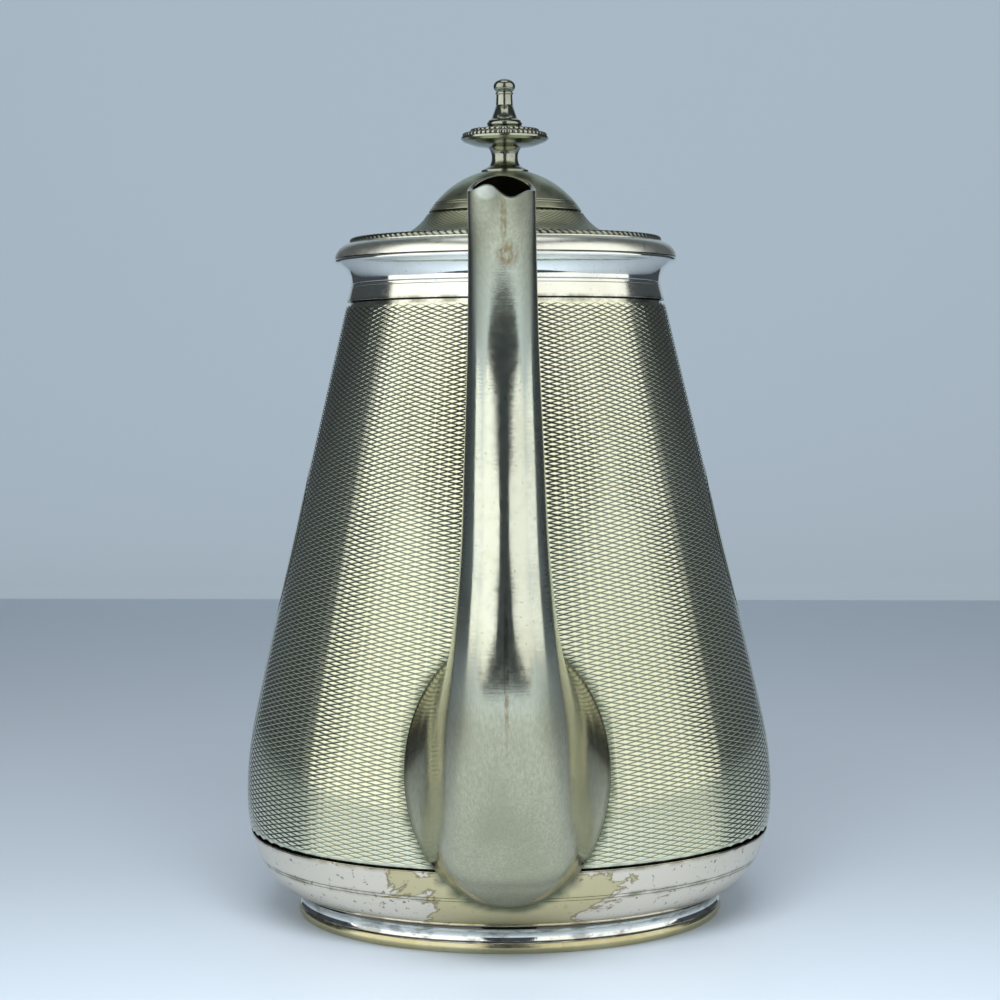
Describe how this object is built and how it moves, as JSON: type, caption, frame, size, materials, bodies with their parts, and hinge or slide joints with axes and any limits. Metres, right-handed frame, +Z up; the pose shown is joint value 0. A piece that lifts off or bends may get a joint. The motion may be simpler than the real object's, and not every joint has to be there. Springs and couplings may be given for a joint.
{
  "type": "coffee pot",
  "caption": "Tapered engine-turned metal coffee pot with a tall spout on an oval base, a hinged domed lid with a turned finial, a foot ring and an insulated loop handle.",
  "frame": {"origin": "centre of the foot's resting plane, on the body's axis", "axes": "+Z up along the body's axis, -Y towards the spout, +Y towards the handle, +X to the pot's right as seen facing the spout"},
  "size_m": [0.1452, 0.2377, 0.2292],
  "materials": {
    "engine_turned_silver": "silver plate over nickel brass, engine-turned lozenges, warm yellowish tarnish",
    "polished_silver": "polished silver plate with fine scratches",
    "satin_silver": "satin silver plate, small dents and scratches",
    "lid_silver": "silver plate with a greenish tarnish",
    "worn_wire": "plating worn through to yellow brass",
    "inner_metal": "dull tinned inside with coffee stain",
    "bone": "aged bone, slightly polished"
  },
  "bodies": {
    "pot": {"body_shell": "engine_turned_silver", "base_plate": "inner_metal", "foot_ring": "polished_silver", "foot_wire": "worn_wire", "rim_collar": "polished_silver", "rim_wire": "polished_silver", "spout": "satin_silver", "upper_handle_socket": "satin_silver", "upper_insulator": "bone", "handle_grip": "satin_silver", "lower_insulator": "bone", "lower_handle_socket": "satin_silver", "upper_handle_pins": "satin_silver", "lower_handle_pins": "satin_silver", "hinge_body_leaf": "polished_silver", "hinge_pin": "polished_silver"},
    "lid": {"lid_cover": "lid_silver", "lid_rope_border": "polished_silver", "lid_bezel": "inner_metal", "hinge_lid_leaf": "polished_silver", "finial_spool": "satin_silver", "finial_disc": "satin_silver", "finial_top": "satin_silver", "finial_stud": "satin_silver", "finial_washer": "inner_metal", "finial_nut": "inner_metal"}
  },
  "joints": [
    {"name": "lid_hinge", "type": "hinge", "parent": "pot", "child": "lid", "pos_m": [0, 0.0497, 0.1806], "axis": [-1, 0, 0], "range_deg": [0, 100]}
  ]
}
